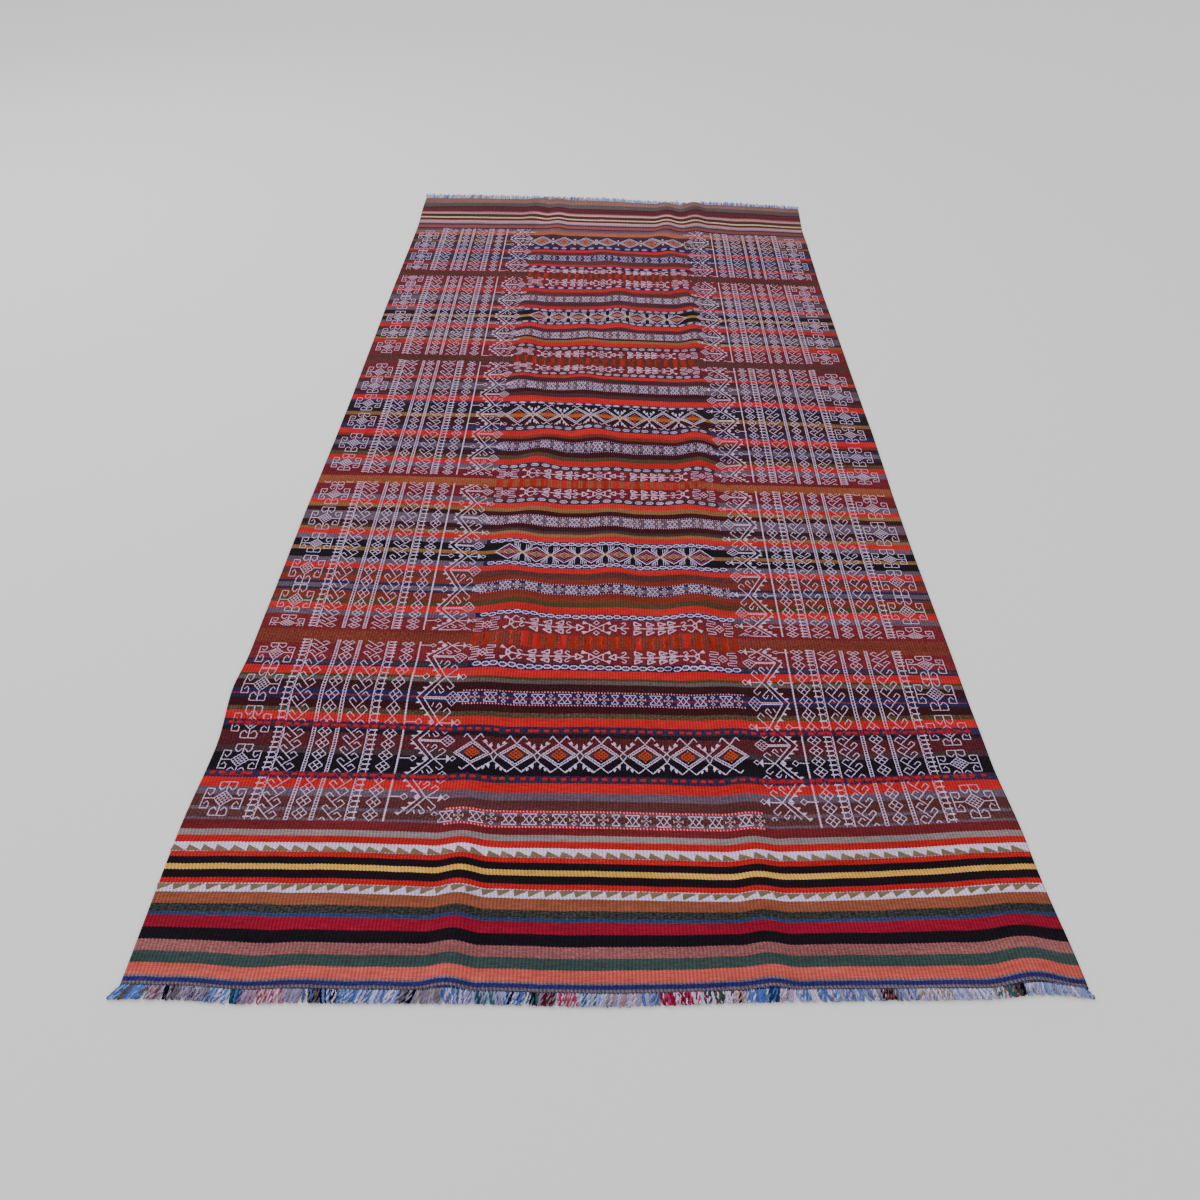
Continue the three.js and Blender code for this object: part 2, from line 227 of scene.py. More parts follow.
def between(rows, at, column):
    """A value from table rows at each place: smooth between two rows, level past the ends."""
    keys = np.array([row[0] for row in rows], float)
    values = np.array([row[column] for row in rows], float)
    i = np.clip(np.searchsorted(keys, at, side="right") - 1, 0, len(keys) - 2)
    share = np.clip((at - keys[i]) / (keys[i + 1] - keys[i]), 0, 1)
    return values[i] + share * share * (3 - 2 * share) * (values[i + 1] - values[i])


def flow(keys, values, at):
    """A curve through values at keys, where the values differ from place to place."""
    keys = np.array(keys, float)
    slopes = np.gradient(values, keys, axis=-1)
    at = np.clip(at, keys[0], keys[-1])
    i = np.clip(np.searchsorted(keys, at, side="right") - 1, 0, len(keys) - 2)
    span = keys[i + 1] - keys[i]
    t = (at - keys[i]) / span

    def pick(table, index):
        return np.take_along_axis(table, index[..., None], axis=-1)[..., 0]

    start = (1 + 2 * t) * (1 - t) ** 2 * pick(values, i)
    end = t * t * (3 - 2 * t) * pick(values, i + 1)
    start_slope = t * (1 - t) ** 2 * span * pick(slopes, i)
    end_slope = t * t * (t - 1) * span * pick(slopes, i + 1)
    return start + end + start_slope + end_slope


def height(x, y):
    """How high the cloth's underside stands above the floor, as in the CAD solid."""
    total = np.zeros(np.shape(x))
    for ridge in RIDGES:
        off = np.clip(np.abs(x - between(ridge, y, 1)) / between(ridge, y, 3), 0, 1)
        inside = (y > ridge[0][0]) & (y < ridge[-1][0])
        total += inside * between(ridge, y, 2) * (1 + np.cos(np.pi * off)) / 2
    return total


def cockle(x, y):
    """Small waves that hand-beaten cloth keeps, never lower than the floor lets it lie."""
    slow = np.sin(x / 31 + 2.1 * np.sin(y / 170)) * np.sin(y / 47 + 1.3 * np.sin(x / 120))
    quick = np.sin(x / 14.3 + y / 61) * np.sin(y / 19.7 - x / 83)
    return 0.45 * (1 + slow) + 0.15 * (1 + quick)


def place(u, s, above):
    """Floor position in metres of a point of the weave: u across the warp, s along the stripes."""
    u = np.asarray(u, float)
    s = np.asarray(s, float)
    columns = [between(WEFT_SHIFT, s, 1 + k) for k in range(len(WEFT_ACROSS))]
    y = s + flow(WEFT_ACROSS, np.stack(columns, axis=-1), u) - SIGHT_SLOPE * (s + EYE_BEHIND)
    for along, across, reach_along, reach_across, shift in BOWS:
        off_along = np.clip((s - along) / reach_along, -1, 1)
        off_across = np.clip((u - across) / reach_across, -1, 1)
        y = y + shift * (1 + np.cos(math.pi * off_along)) * (1 + np.cos(math.pi * off_across)) / 4
    left = between(SELVEDGES, y, 1)
    right = between(SELVEDGES, y, 2)
    x = u / HALF_WIDTH * np.where(u < 0, left, right)
    z = height(x, y) + cockle(x, y) + CLOTH_TOP + above
    return np.stack([(x - ORIGIN_ACROSS) * MM, (y - ORIGIN_ALONG) * MM, z * MM], axis=-1)


# Materials.

WOOL_SURFACE = {
    "Roughness": 0.92, "Specular IOR Level": 0.05, "Sheen Weight": 0.01, "Sheen Roughness": 0.6,
}


def linear(code):
    """A linear colour from an sRGB hex code."""
    values = [int(code[i:i + 2], 16) / 255 for i in (1, 3, 5)]
    return tuple(v / 12.92 if v <= 0.04045 else ((v + 0.055) / 1.055) ** 2.4 for v in values)


def dye(name):
    return linear(YARNS[name])


def new_material(name):
    material = bpy.data.materials.new(name)
    material.use_nodes = True
    return material, material.node_tree


def node(tree, kind, links=None, **settings):
    """Adds a node. Settings name its properties; links give inputs, as values or other sockets."""
    made = tree.nodes.new(kind)
    for key, value in settings.items():
        setattr(made, key, value)
    for key, value in (links or {}).items():
        if isinstance(value, bpy.types.NodeSocket):
            tree.links.new(value, made.inputs[key])
        else:
            made.inputs[key].default_value = value
    return made


# The helpers below add to the tree that their first socket is in.

def maths(operation, a, b=0.0, c=0.0):
    links = {0: a, 1: b, 2: c}
    return node(a.id_data, "ShaderNodeMath", links, operation=operation).outputs[0]


def mix_colour(factor, a, b, blend="MIX"):
    links = {0: factor, 6: a, 7: b}
    made = node(a.id_data, "ShaderNodeMix", links, data_type="RGBA", blend_type=blend)
    return made.outputs[2]


def noise(vector, scale, detail):
    links = {"Vector": vector, "Scale": scale, "Detail": detail}
    return node(vector.id_data, "ShaderNodeTexNoise", links).outputs["Fac"]


def spread(value, low, high, to_low=0.0, to_high=1.0):
    links = {"Value": value, 1: low, 2: high, 3: to_low, 4: to_high}
    return node(value.id_data, "ShaderNodeMapRange", links).outputs[0]


def shaded(colour, value):
    """A colour made darker or lighter by a value."""
    links = {0: value, 1: value, 2: value}
    grey = node(value.id_data, "ShaderNodeCombineColor", links).outputs[0]
    return mix_colour(1.0, colour, grey, "MULTIPLY")


def finish_wool(tree, colour, height_map, depth):
    """Sets the shader of a woollen surface: dull, a little soft sheen, relief from a height."""
    shader = tree.nodes["Principled BSDF"]
    bump = node(tree, "ShaderNodeBump", {"Height": height_map, "Distance": depth})
    tree.links.new(colour, shader.inputs["Base Color"])
    tree.links.new(bump.outputs[0], shader.inputs["Normal"])
    for key, value in WOOL_SURFACE.items():
        shader.inputs[key].default_value = value


# A colour ramp holds no more stops than this.
RAMP_STOPS = 30


def stripe_colour(tree, along):
    """The stripe table as colour ramps end to end. Alpha holds how mottled each stripe is."""
    colour = None
    mottle = None
    for first in range(0, len(STRIPES), RAMP_STOPS):
        part = STRIPES[first:first + RAMP_STOPS]
        start = STRIPES[first - 1][0] if first else START
        end = part[-1][0]
        share = spread(along, start * MM, end * MM)
        ramp = node(tree, "ShaderNodeValToRGB", {0: share})
        ramp.color_ramp.interpolation = "CONSTANT"
        edges = [start] + [row[0] for row in part[:-1]]
        while len(ramp.color_ramp.elements) < len(part):
            ramp.color_ramp.elements.new(0.5)
        for element, edge, row in zip(ramp.color_ramp.elements, edges, part):
            element.position = (edge - start) / (end - start)
            element.color = (*dye(row[1]), row[2] / 10)
        if colour is None:
            colour, mottle = ramp.outputs[0], ramp.outputs[1]
            continue
        past = maths("GREATER_THAN", along, start * MM)
        colour = mix_colour(past, colour, ramp.outputs[0])
        step = node(tree, "ShaderNodeMix", {0: past, 2: mottle, 3: ramp.outputs[1]})
        mottle = step.outputs[0]
    return colour, mottle


# From one weft pass to the next, how far a stripe edge wanders, and how steep its teeth are.
PASS = 2.2
WANDER = 5
TOOTH_SLOPE = 0.55
# Where floats veil the panels' ground: from how far out, and where along the rug, in metres.
VEIL_OUT = 0.31
VEIL_ALONG = (1.5, 2.1)
VEIL_MOST = 0.22
VEIL_TONE = (0.06, 0.02, 0.03, 1)
# What the two yarns of a mottled stripe lean towards.
MARL_LIGHT = (0.3, 0.2, 0.16, 1)
MARL_DARK = (0.02, 0.015, 0.02, 1)


def woven_ground():
    """Wool weft over paired warps: stripes whose edges step over the ribs, mottled yarn, the fine
    ribbed relief of a weft-faced weave, and painted shade in the hollows between the ribs."""
    material, tree = new_material("wool_weft_faced_stripes")
    uv = node(tree, "ShaderNodeUVMap", uv_map="weave").outputs[0]
    axes = node(tree, "ShaderNodeSeparateXYZ", {0: uv})
    across, along = axes.outputs[0], axes.outputs[1]

    def stretched(scale_across, scale_along):
        links = {"Vector": uv, "Scale": (scale_across, scale_along, 1)}
        return node(tree, "ShaderNodeMapping", links).outputs[0]

    # Teeth: each stripe edge dips between two ribs, and wanders a little along its way.
    tooth = maths("PINGPONG", across, RIB / 2 * MM)
    tooth = maths("MULTIPLY", tooth, TOOTH_SLOPE)
    drift = noise(stretched(11, 4), 1, 2)
    wander = maths("MULTIPLY_ADD", drift, WANDER * MM, -WANDER / 2 * MM)
    edge = maths("ADD", maths("ADD", along, tooth), wander)
    colour, mottle = stripe_colour(tree, edge)

    # Past the middle of the rug the panels are packed closer, and their floats veil the ground.
    panel = maths("GREATER_THAN", maths("ABSOLUTE", across), VEIL_OUT)
    veil = maths("MULTIPLY", panel, spread(along, *VEIL_ALONG, 0.0, VEIL_MOST))
    colour = mix_colour(veil, colour, VEIL_TONE)

    # Slow drift of the dye along the rug, as one batch ran out and the next was dipped.
    batch = spread(noise(stretched(3, 26), 1, 3), 0.3, 0.7, 0.82, 1.16)
    # Each weft pass differs a little from the next, streaked over several centimetres.
    passes = spread(noise(stretched(40, 420), 1, 2), 0.3, 0.7, 0.78, 1.22)
    # Mottled stripes mix a light and a dark yarn, in flecks one rib long.
    flecks = noise(stretched(150, 430), 1, 1)
    light = mix_colour(0.32, colour, MARL_LIGHT)
    dark = mix_colour(0.6, colour, MARL_DARK)
    marled = mix_colour(spread(flecks, 0.42, 0.6), dark, light)
    amount = maths("MULTIPLY", mottle, 0.6)
    colour = mix_colour(amount, colour, marled)
    colour = shaded(colour, maths("MULTIPLY", batch, passes))

    # Ribs over the warps, offset every other weft pass, with yarn fuzz on top.
    rib_turn = 2 * math.pi / (RIB * MM)
    row = maths("FLOOR", maths("DIVIDE", along, PASS * MM))
    offset = maths("MULTIPLY", maths("MODULO", row, 2.0), CELL * MM)
    phase = maths("MULTIPLY", maths("ADD", across, offset), rib_turn)
    bead = maths("MULTIPLY_ADD", maths("SINE", phase), 0.5, 0.5)
    warp = maths("SINE", maths("MULTIPLY", across, rib_turn))
    rows = maths("ABSOLUTE", maths("SINE", maths("MULTIPLY", along, math.pi / (PASS * MM))))
    fuzz = noise(uv, 1400, 3)
    relief = maths("MULTIPLY_ADD", bead, 0.35, maths("MULTIPLY", rows, 0.35))
    relief = maths("MULTIPLY_ADD", warp, 0.35, relief)
    relief = maths("MULTIPLY_ADD", fuzz, 0.4, relief)
    # Painted shade: the colour is darkened in the hollows between the ribs and lifted a little on their
    # tops.
    painted_rib_shade = maths("MULTIPLY_ADD", warp, 0.11, spread(relief, 0.1, 0.8, 0.78, 1.06))
    finish_wool(tree, shaded(colour, painted_rib_shade), relief, 0.0007)
    return material


def pattern_yarn(name, scale, depth):
    """Spun wool whose colour is on the mesh, mottled from strand to strand, with twisted plies."""
    material, tree = new_material(name)
    yarn = node(tree, "ShaderNodeAttribute", attribute_name="yarn").outputs["Color"]
    spot = node(tree, "ShaderNodeTexCoord").outputs["Object"]
    uneven = spread(noise(spot, 60, 3), 0.3, 0.7, 0.8, 1.12)
    grain = noise(spot, scale, 3)
    fibre = spread(grain, 0.3, 0.7, 0.82, 1.1)
    finish_wool(tree, shaded(yarn, maths("MULTIPLY", uneven, fibre)), grain, depth)
    return material


# Meshes.

def new_object(name, data):
    made = bpy.data.objects.new(name, data)
    bpy.context.collection.objects.link(made)
    return made


def declared(name, mesh, material, node_name):
    """The piece of a finished mesh: smooth, with its material, body and node."""
    mesh.shade_smooth()
    mesh.materials.append(material)
    piece = new_object(name, mesh)
    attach(piece, "root")
    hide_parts(node_name)
    return piece


def make_piece(name, chunks, material, node_name, slot):
    """One joined mesh from (points, faces, colours) chunks, declared to the frame."""
    points = []
    faces = []
    colours = []
    count = 0
    for chunk_points, chunk_faces, chunk_colours in chunks:
        points.append(chunk_points)
        faces.extend((chunk_faces + count).tolist())
        colours.append(chunk_colours)
        count += len(chunk_points)
    mesh = bpy.data.meshes.new(name)
    mesh.from_pydata(np.concatenate(points).tolist(), [], faces)
    paint = mesh.attributes.new("yarn", "FLOAT_COLOR", "POINT")
    rgba = np.concatenate(colours)
    rgba = np.concatenate([rgba, np.ones((len(rgba), 1))], axis=1)
    paint.data.foreach_set("color", rgba.astype(np.float32).ravel())
    return declared(name, mesh, material, node_name)


CLOTH_COLUMNS = 200
CLOTH_ROWS = 177


def make_cloth(material):
    """The cloth: a grid on the weave's own axes, laid over the ridges and given its thickness."""
    mesh = bpy.data.meshes.new("striped_cloth")
    grid = bmesh.new()
    bmesh.ops.create_grid(grid, x_segments=CLOTH_COLUMNS, y_segments=CLOTH_ROWS, size=1.0)
    flat = np.array([v.co[:2] for v in grid.verts])
    u = flat[:, 0] * HALF_WIDTH
    s = START + (flat[:, 1] + 1) / 2 * (END - START)
    spots = place(u, s, 0)
    layer = grid.loops.layers.uv.new("weave")
    for face in grid.faces:
        for loop in face.loops:
            i = loop.vert.index
            loop[layer].uv = (u[i] * MM, s[i] * MM)
    for vert, spot in zip(grid.verts, spots):
        vert.co = spot
    grid.to_mesh(mesh)
    grid.free()
    cloth = declared("striped_cloth", mesh, material, "rug_cloth")
    solid = cloth.modifiers.new("thickness", "SOLIDIFY")
    solid.thickness = CLOTH_THICKNESS * MM
    solid.offset = -1
    return cloth


# Pattern charts. A stroke is (yarn, width, points...): x to the right and y along the rug, in
# cells of one warp pair on the side panels and in millimetres elsewhere. A width may be a pair,
# from the first point to the last, so a stroke that narrows to nothing is a filled triangle.

# From one wrap of yarn to the next along a stroke.
STATION = 3.1


def resample(points, width, cell):
    """Stations along a stroke, about one per wrap of yarn, with the width at each."""
    points = np.array(points, float)
    stations = [points[:1]]
    for a, b in zip(points[:-1], points[1:]):
        count = max(1, int(math.ceil(np.abs(b - a).max() * cell / STATION - 0.3)))
        stations.append(a + (b - a) * np.arange(1, count + 1)[:, None] / count)
    line = np.concatenate(stations)
    ends = width if isinstance(width, tuple) else (width, width)
    travelled = np.concatenate([[0], np.cumsum(np.linalg.norm(np.diff(line, axis=0), axis=1))])
    return line, ends[0] + (ends[1] - ends[0]) * travelled / travelled[-1]


# How a yarn lies: its crest, its sunk edges, how far it strays, up to what half width it is a
# single ridge, and its shoulders past that.
CREST = 0.95
SUNK = -0.25
STRAY = 0.25
THIN_BELOW = 2.6
BEVEL = 0.9
# Shares: how wraps swell a yarn and lift it, how high its ends lie, how slim it is on the
# panels, how its shade varies, and how much of a stripe's dye pale yarn takes up.
WRAP_SWELL = 0.26
WRAP_LIFT = 0.12
END_RISE = 0.35
PANEL_YARN = 0.86
YARN_SHADES = (0.9, 1.06)
STAIN_LEAST = 0.14
STAIN_MORE = 0.34
STAIN_GAIN = 1.7
STRIPE_ENDS = np.array([row[0] for row in STRIPES], float)
STRIPE_DYES = np.array([dye(row[1]) for row in STRIPES])


def stained(colour, s):
    """Pale yarn takes up some of the dye of the stripe that it crosses, most from the reds."""
    ground = STRIPE_DYES[np.clip(np.searchsorted(STRIPE_ENDS, s), 0, len(STRIPE_DYES) - 1)]
    strongest = ground.max(axis=-1, keepdims=True)
    amount = STAIN_LEAST + STAIN_MORE * np.clip(strongest * STAIN_GAIN, 0, 1)
    return colour * (1 - amount * (1 - ground / strongest))


def stitch(chunks, chart, origins, turn=(1, 1), rows=None, crest=CREST):
    """Adds a chart at each origin as raised yarn. Turn mirrors or stretches it. With rows, it is
    in cells, along the rug those of that table, and what lies outside the table is left out."""
    cell, slim = (1, 1.0) if rows is None else (CELL, PANEL_YARN)
    origins = np.array(origins, float).reshape(-1, 2)
    for yarn, width, *points in chart:
        line, widths = resample(points, width, cell)
        spots = np.empty((len(origins), len(line), 2))
        spots[..., 0] = origins[:, :1] + line[None, :, 0] * cell * turn[0]
        if rows is None:
            spots[..., 1] = origins[:, 1:] + line[None, :, 1] * turn[1]
            inside = np.ones(spots.shape[:2], bool)
        else:
            at = origins[:, 1:] + line[None, :, 1] * turn[1]
            spots[..., 1] = np.interp(at, [row[0] for row in rows], [row[1] for row in rows])
            inside = (at >= rows[0][0]) & (at <= rows[-1][0])
        spots += rng.normal(0, STRAY, spots.shape)
        run = np.gradient(spots, axis=1)
        run /= np.maximum(np.linalg.norm(run, axis=2, keepdims=True), 1e-6)
        side = np.stack([-run[..., 1], run[..., 0]], axis=2)
        beat = (-1.0) ** np.arange(len(line))
        half = widths * cell / 2 * slim
        thin = half < THIN_BELOW
        half = half * np.where(thin, 1 + WRAP_SWELL * beat, 1)
        rise = np.minimum(crest * (1 + WRAP_LIFT * beat), half * 0.9 + 0.1)
        rise[[0, -1]] *= END_RISE
        inner = 1 - np.minimum(0.4, BEVEL / np.maximum(half, 0.1))
        if thin.all():
            lanes = [(1.0, SUNK), (0.0, rise), (-1.0, SUNK)]
        else:
            lanes = [(1.0, SUNK), (inner, rise), (-inner, rise), (-1.0, SUNK)]
        rails = []
        for share, above in lanes:
            spot = spots + side * (half * share)[None, :, None]
            rails.append(place(spot[..., 0], spot[..., 1], above))
        points3 = np.stack(rails, axis=2)
        tiles, count, lane_count = points3.shape[:3]
        index = np.arange(tiles * count * lane_count).reshape(tiles, count, lane_count)
        quads = np.stack([
            index[:, :-1, 1:], index[:, 1:, 1:], index[:, 1:, :-1], index[:, :-1, :-1],
        ], axis=-1)
        quads = quads[inside[:, :-1] & inside[:, 1:]].reshape(-1, 4)
        if not len(quads):
            continue
        tint = np.broadcast_to(np.array(dye(yarn)), (tiles, count, 3))
        if yarn == "white":
            tint = stained(tint, spots[..., 1])
            for low, high in DASH_ROWS if rows else ():
                dashed = (spots[..., 1] > low) & (spots[..., 1] < high)
                tint = np.where(dashed[..., None], np.array(dye("red")), tint)
        tint = tint * rng.uniform(*YARN_SHADES, (tiles, count, 1))
        tint = np.broadcast_to(tint[:, :, None], (tiles, count, lane_count, 3)).reshape(-1, 3)
        chunks.append((points3.reshape(-1, 3), quads, tint))


def both_sides(chart):
    """A chart and its mirror image left to right."""
    return chart + [(c, w, *[(-x, y) for x, y in p]) for c, w, *p in chart]


def both_ways(chart):
    """A chart and its mirror image along the rug."""
    return chart + [(c, w, *[(x, -y) for x, y in p]) for c, w, *p in chart]


def white(width, *points):
    """A stroke of white yarn, as most are."""
    return ("white", width, *points)


def diamond(yarn, half, width=1.0, x=0.0, y=0.0, tall=None):
    tall = half if tall is None else tall
    return (yarn, width, (x, y + tall), (x - half, y), (x, y - tall), (x + half, y), (x, y + tall))


def hatch(yarn, half, width=0.7, x=0.0, y=0.0, tall=None, lines=3, edge=0.5):
    """Crossed lines that fill a diamond, parallel to its sides, from one edge share to the other."""
    tall = half if tall is None else tall
    strokes = []
    for k in np.linspace(-edge, edge, lines):
        low = ((k - 1) / 2 * half, (-k - 1) / 2 * tall)
        high = ((k + 1) / 2 * half, (1 - k) / 2 * tall)
        strokes.append((yarn, width, (x + low[0], y + low[1]), (x + high[0], y + high[1])))
        strokes.append((yarn, width, (x + low[0], y - low[1]), (x + high[0], y - high[1])))
    return strokes


# Charts of the side panels, in cells.

HOOK_LATTICE = [
    white(0.9, (5, -1), (2, 2), (0, 0), (9, -9)),
    white(0.9, (5, -14), (13, -6), (10, -3), (8, -5)),
]
LOZENGE_CHAIN = [
    diamond("white", 4.5, 0.85),
    white(0.8, (-2.25, 2.25), (2.25, -2.25)),
    white(0.8, (-2.25, -2.25), (2.25, 2.25)),
]
LADDER_RUNG = [white(0.8, (-1, 0), (1, 0))]
COMB = [
    white(0.85, (0, 2), (2, 0), (0, -2)),
    white(1.5, (2, 0), (6.5, 0)),
]
HOOKED_CROSS = [
    diamond("white", 5.4, 0.9),
    *hatch("white", 5.4, 0.6),
] + both_ways(both_sides([
    white(0.9, (0, 5), (0, 12)),
    white(0.9, (0, 12), (5, 12), (5, 8), (3, 6), (1, 8.5)),
    white(0.9, (5, 0), (11.5, 0), (11.5, 7), (7, 7), (7, 4), (8.5, 2), (10, 4)),
]))
ARROW_TREE = both_ways([
    white(1.1, (0, 0), (-12, 15)),
    white(1.0, (-3.5, 0), (-16.5, 15)),
    *[white((3.0, 0.4), (-4.4 - k, 1.3 + 1.15 * k), (-7.2 - k, 0.4 + 1.15 * k))
      for k in (0.0, 3.2, 6.4, 9.6)],
    white(0.9, (0, 0), (7, 6.5), (4.5, 9), (2, 6.5)),
    white(0.9, (-4, 5), (1, 10), (-1, 12), (-3, 9)),
    white(0.9, (-6, 9.5), (-4.8, 12)),
    white(1.2, (-11.5, 14.5), (3, 14.5)),
]) + [
    white(1.1, (0, 0), (8, 0)),
    white((8, 0.6), (8, 0), (10.4, 0)),
    diamond("white", 2, 0.9, 12),
    diamond("white", 4.8, 0.85, 7, 15),
    *hatch("white", 4.8, 0.55, 7, 15, lines=2, edge=0.33),
    white(1.0, (-22.3, 0), (-15.5, 0)),
    diamond("white", 2.2, 0.9, -13.3),
]

SIDES = [
    # Side of the rug, then where each column of the panel runs, from the field outwards.
    {"sign": -1, "tree": -352, "bar": -424, "chain": (-451, -586), "comb": (-498, -671),
     "lattice": (-547, -670), "ladder": (-561, -609), "cross": -742, "cross_wide": 1.04},
    {"sign": 1, "tree": 348, "bar": 414, "chain": (439, 571), "comb": (480, 663),
     "lattice": (529, 652), "ladder": (543, 601), "cross": 732, "cross_wide": 1.16},
]


# How many cells each chart takes along the rug before it repeats, and how far apart a comb's two
# rails are.
LATTICE_PITCH = 9
LADDER_PITCH = 2
COMB_PITCH = 4
TREE_PITCH = 30
COMB_WIDE = 5


def repeat(u, rows, pitch, phase=0.0):
    """Origins of a chart repeated along the rug to cover a zone, in cells."""
    first = rows[0][0] + (phase - 1) * pitch
    return [(u, c) for c in np.arange(first, rows[-1][0] + pitch, pitch)]


def side_panel(side):
    """All columns of one side panel. The right one mirrors the left."""
    chunks = []
    flip = -side["sign"]
    for rows, crosses in zip(PANEL_ZONES, CROSSES_AT):
        low, high = rows[0][0], rows[-1][0]
        rail = [white(0.85, (0, low), (0, high))]
        bar = [white(1.45, (0, low), (0, high))]
        turn = (flip, 1)
        for u in side["lattice"]:
            stitch(chunks, HOOK_LATTICE, repeat(u, rows, LATTICE_PITCH), turn=turn, rows=rows)
        for u in side["chain"]:
            chain = repeat(u, rows, LATTICE_PITCH, 0.5)
            stitch(chunks, LOZENGE_CHAIN, chain, turn=turn, rows=rows)
        for u in side["ladder"]:
            stitch(chunks, rail, [(u - CELL, 0), (u + CELL, 0)], rows=rows)
            stitch(chunks, LADDER_RUNG, repeat(u, rows, LADDER_PITCH), rows=rows)
        for u, way in zip(side["comb"], (1, -1)):
            stitch(chunks, rail, [(u, 0), (u + flip * way * COMB_WIDE * CELL, 0)], rows=rows)
            teeth = repeat(u, rows, COMB_PITCH, 0.5)
            stitch(chunks, COMB, teeth, turn=(flip * way, 1), rows=rows)
        stitch(chunks, bar, [(side["bar"], 0)], rows=rows)
        middles = np.interp(crosses, [row[1] for row in rows], [row[0] for row in rows])
        # Past the last row a cell is as long as it is wide.
        middles = middles + np.maximum(0, np.array(crosses) - rows[-1][1]) / CELL
        stretch = (flip * side["cross_wide"], 1)
        stitch(chunks, HOOKED_CROSS, [(side["cross"], c) for c in middles], turn=stretch, rows=rows)
        first = math.floor(low / TREE_PITCH) * TREE_PITCH
        crossings = np.arange(first, high + TREE_PITCH, TREE_PITCH)
        grown = [TREE_FOOT] + rows[1:] if rows is PANEL_ZONES[0] else rows
        stitch(chunks, ARROW_TREE, [(side["tree"], c) for c in crossings], turn=turn, rows=grown)
    return chunks


# Bands of the middle field.

FIELD = (-310, 304)
LOZENGES_AT = (-276, -187, -99, -13, 79, 168, 257)
DIAMONDS_AT = (-250, -181, -111, -43, 27, 99, 169, 240)
TREE_MIDDLE = -27
# The ends of a tree band: nets, and serpents with how wide they are, turned where below zero.
NETS_AT = (-280, 265)
SERPENTS_AT = ((-262, -0.8), (-300, 0.8), (246, -0.8), (286, 0.8))

# How tall the bands of a kind are in their charts, in millimetres.
SPRIG_TALL = 29
ROPE_TALL = 20
TREE_TALL = 50
DIAMOND_TALL = 69
# Where the way of working a band changes along the rug.
RED_EDGE_UNTIL = 400
PLUM_ROPE_FROM = 1300
TALL_LOZENGE_FROM = 1700
BRICK_BLOCK_FROM = 2000
NAVY_ROPE_FROM = 2600
FAR_LOZENGE_FROM = 3000

# Charts of the field bands, in millimetres.

LOZENGE = [
    diamond("white", 37, 2.6, tall=30),
    diamond("white", 29.5, 2.6, tall=23.5),
    *[white(2.0, (x * 33.4 * a, y * 26.8 * (1 - a) - 2), (x * 33.4 * a, y * 26.8 * (1 - a) + 2))
      for x in (-1, 1) for y in (-1, 1) for a in (0.1, 0.24, 0.38, 0.52, 0.66, 0.8, 0.93)],
    diamond("orange", 14.5, 2.8, tall=13.5),
    *hatch("orange", 14.5, 2.7, tall=13.5, lines=2, edge=0.34),
    white(2.4, (0, 15.5), (0, 13)),
    white(2.4, (0, -15.5), (0, -13)),
]
LOZENGE_HORNS = both_sides([
    white(2.8, (0, 30), (14.5, 50), (21, 40)),
    white(2.8, (0, -30), (15, -44), (22, -37)),
])
TALL_HORNS = both_ways(both_sides([white(2.8, (0, 42), (10, 53), (16, 46))]))
LOZENGE_GAP = both_sides([
    white(2.6, (7, -1), (0, 8), (-25, 32)),
    white((9, 1.2), (-9, 17.5), (-6.5, 29)),
    white((9, 3), (-18.5, 27), (-19.5, 35)),
    white(2.6, (7, -1), (0, -15), (-29, -42)),
    white((9, 1.2), (-10, -25), (-7, -36)),
    white((8, 2), (-18, -33), (-18.5, -41)),
])
FAR_LOZENGE = [
    diamond("white", 45, 2.8, tall=42),
    diamond("white", 35, 2.8, tall=32),
    diamond("blush", 18, 2.4, tall=23),
    diamond("orange", 11.5, 5.0, tall=15),
    diamond("orange", 4.5, 4.0, tall=6),
] + both_ways(both_sides([white((7, 1), (46, 14), (46, 27))]))
BAND_DIAMOND = [
    diamond("white", 34, 3.4, tall=30),
    diamond("magenta", 21, 3.0, tall=23),
    diamond("beige", 12, 3.0, tall=12.5),
    diamond("pink", 5, 2.6, tall=5.5),
]
FIR_COMB = both_ways(both_sides([
    white(2.8, (4.5, 8), (22, 28)),
    *[white(2.0, (x, 1.14 * x + 2), (x, 31 + 0.2 * x)) for x in (8, 12.5, 17, 21.5)],
]))
SPRIG_DOUBLE = both_ways([
    white(2.6, (-13.5, 12), (13.5, 12)),
    white(2.2, (-12.5, 10), (0, -10)),
    white(2.2, (0, 10), (12.5, -10)),
    white(2.2, (-13.2, 6), (-13.2, 12)),
    white(2.2, (13.2, 6), (13.2, 12)),
])
SPRIG_SINGLE = both_ways([
    white(2.6, (-7.5, 12), (7.5, 12)),
    white(2.2, (-7, 11), (7, -11)),
    white(2.2, (-7.2, 7), (-7.2, 12)),
    white(2.2, (7.2, 7), (7.2, 12)),
])
SPRIG_CROSS = both_ways([
    diamond("white", 4.2, 2.2, 0, 9),
]) + [
    diamond("blush", 3.6, 2.2),
    ("blush", 2.8, (-8.5, 0), (-3.5, 0)),
    ("blush", 2.8, (3.5, 0), (8.5, 0)),
    white(2.4, (-8.7, -3.2), (-8.7, 3.2)),
    white(2.4, (8.7, -3.2), (8.7, 3.2)),
]
# The order of the sprigs, each with the step to the next.
SPRIG_ROW = [
    (SPRIG_DOUBLE, 26), (SPRIG_CROSS, 33), (SPRIG_DOUBLE, 28), (SPRIG_CROSS, 34), (SPRIG_DOUBLE, 38),
    (SPRIG_DOUBLE, 28), (SPRIG_CROSS, 30), (SPRIG_DOUBLE, 28), (SPRIG_CROSS, 25), (SPRIG_DOUBLE, 30),
    (SPRIG_CROSS, 25), (SPRIG_SINGLE, 33),
]
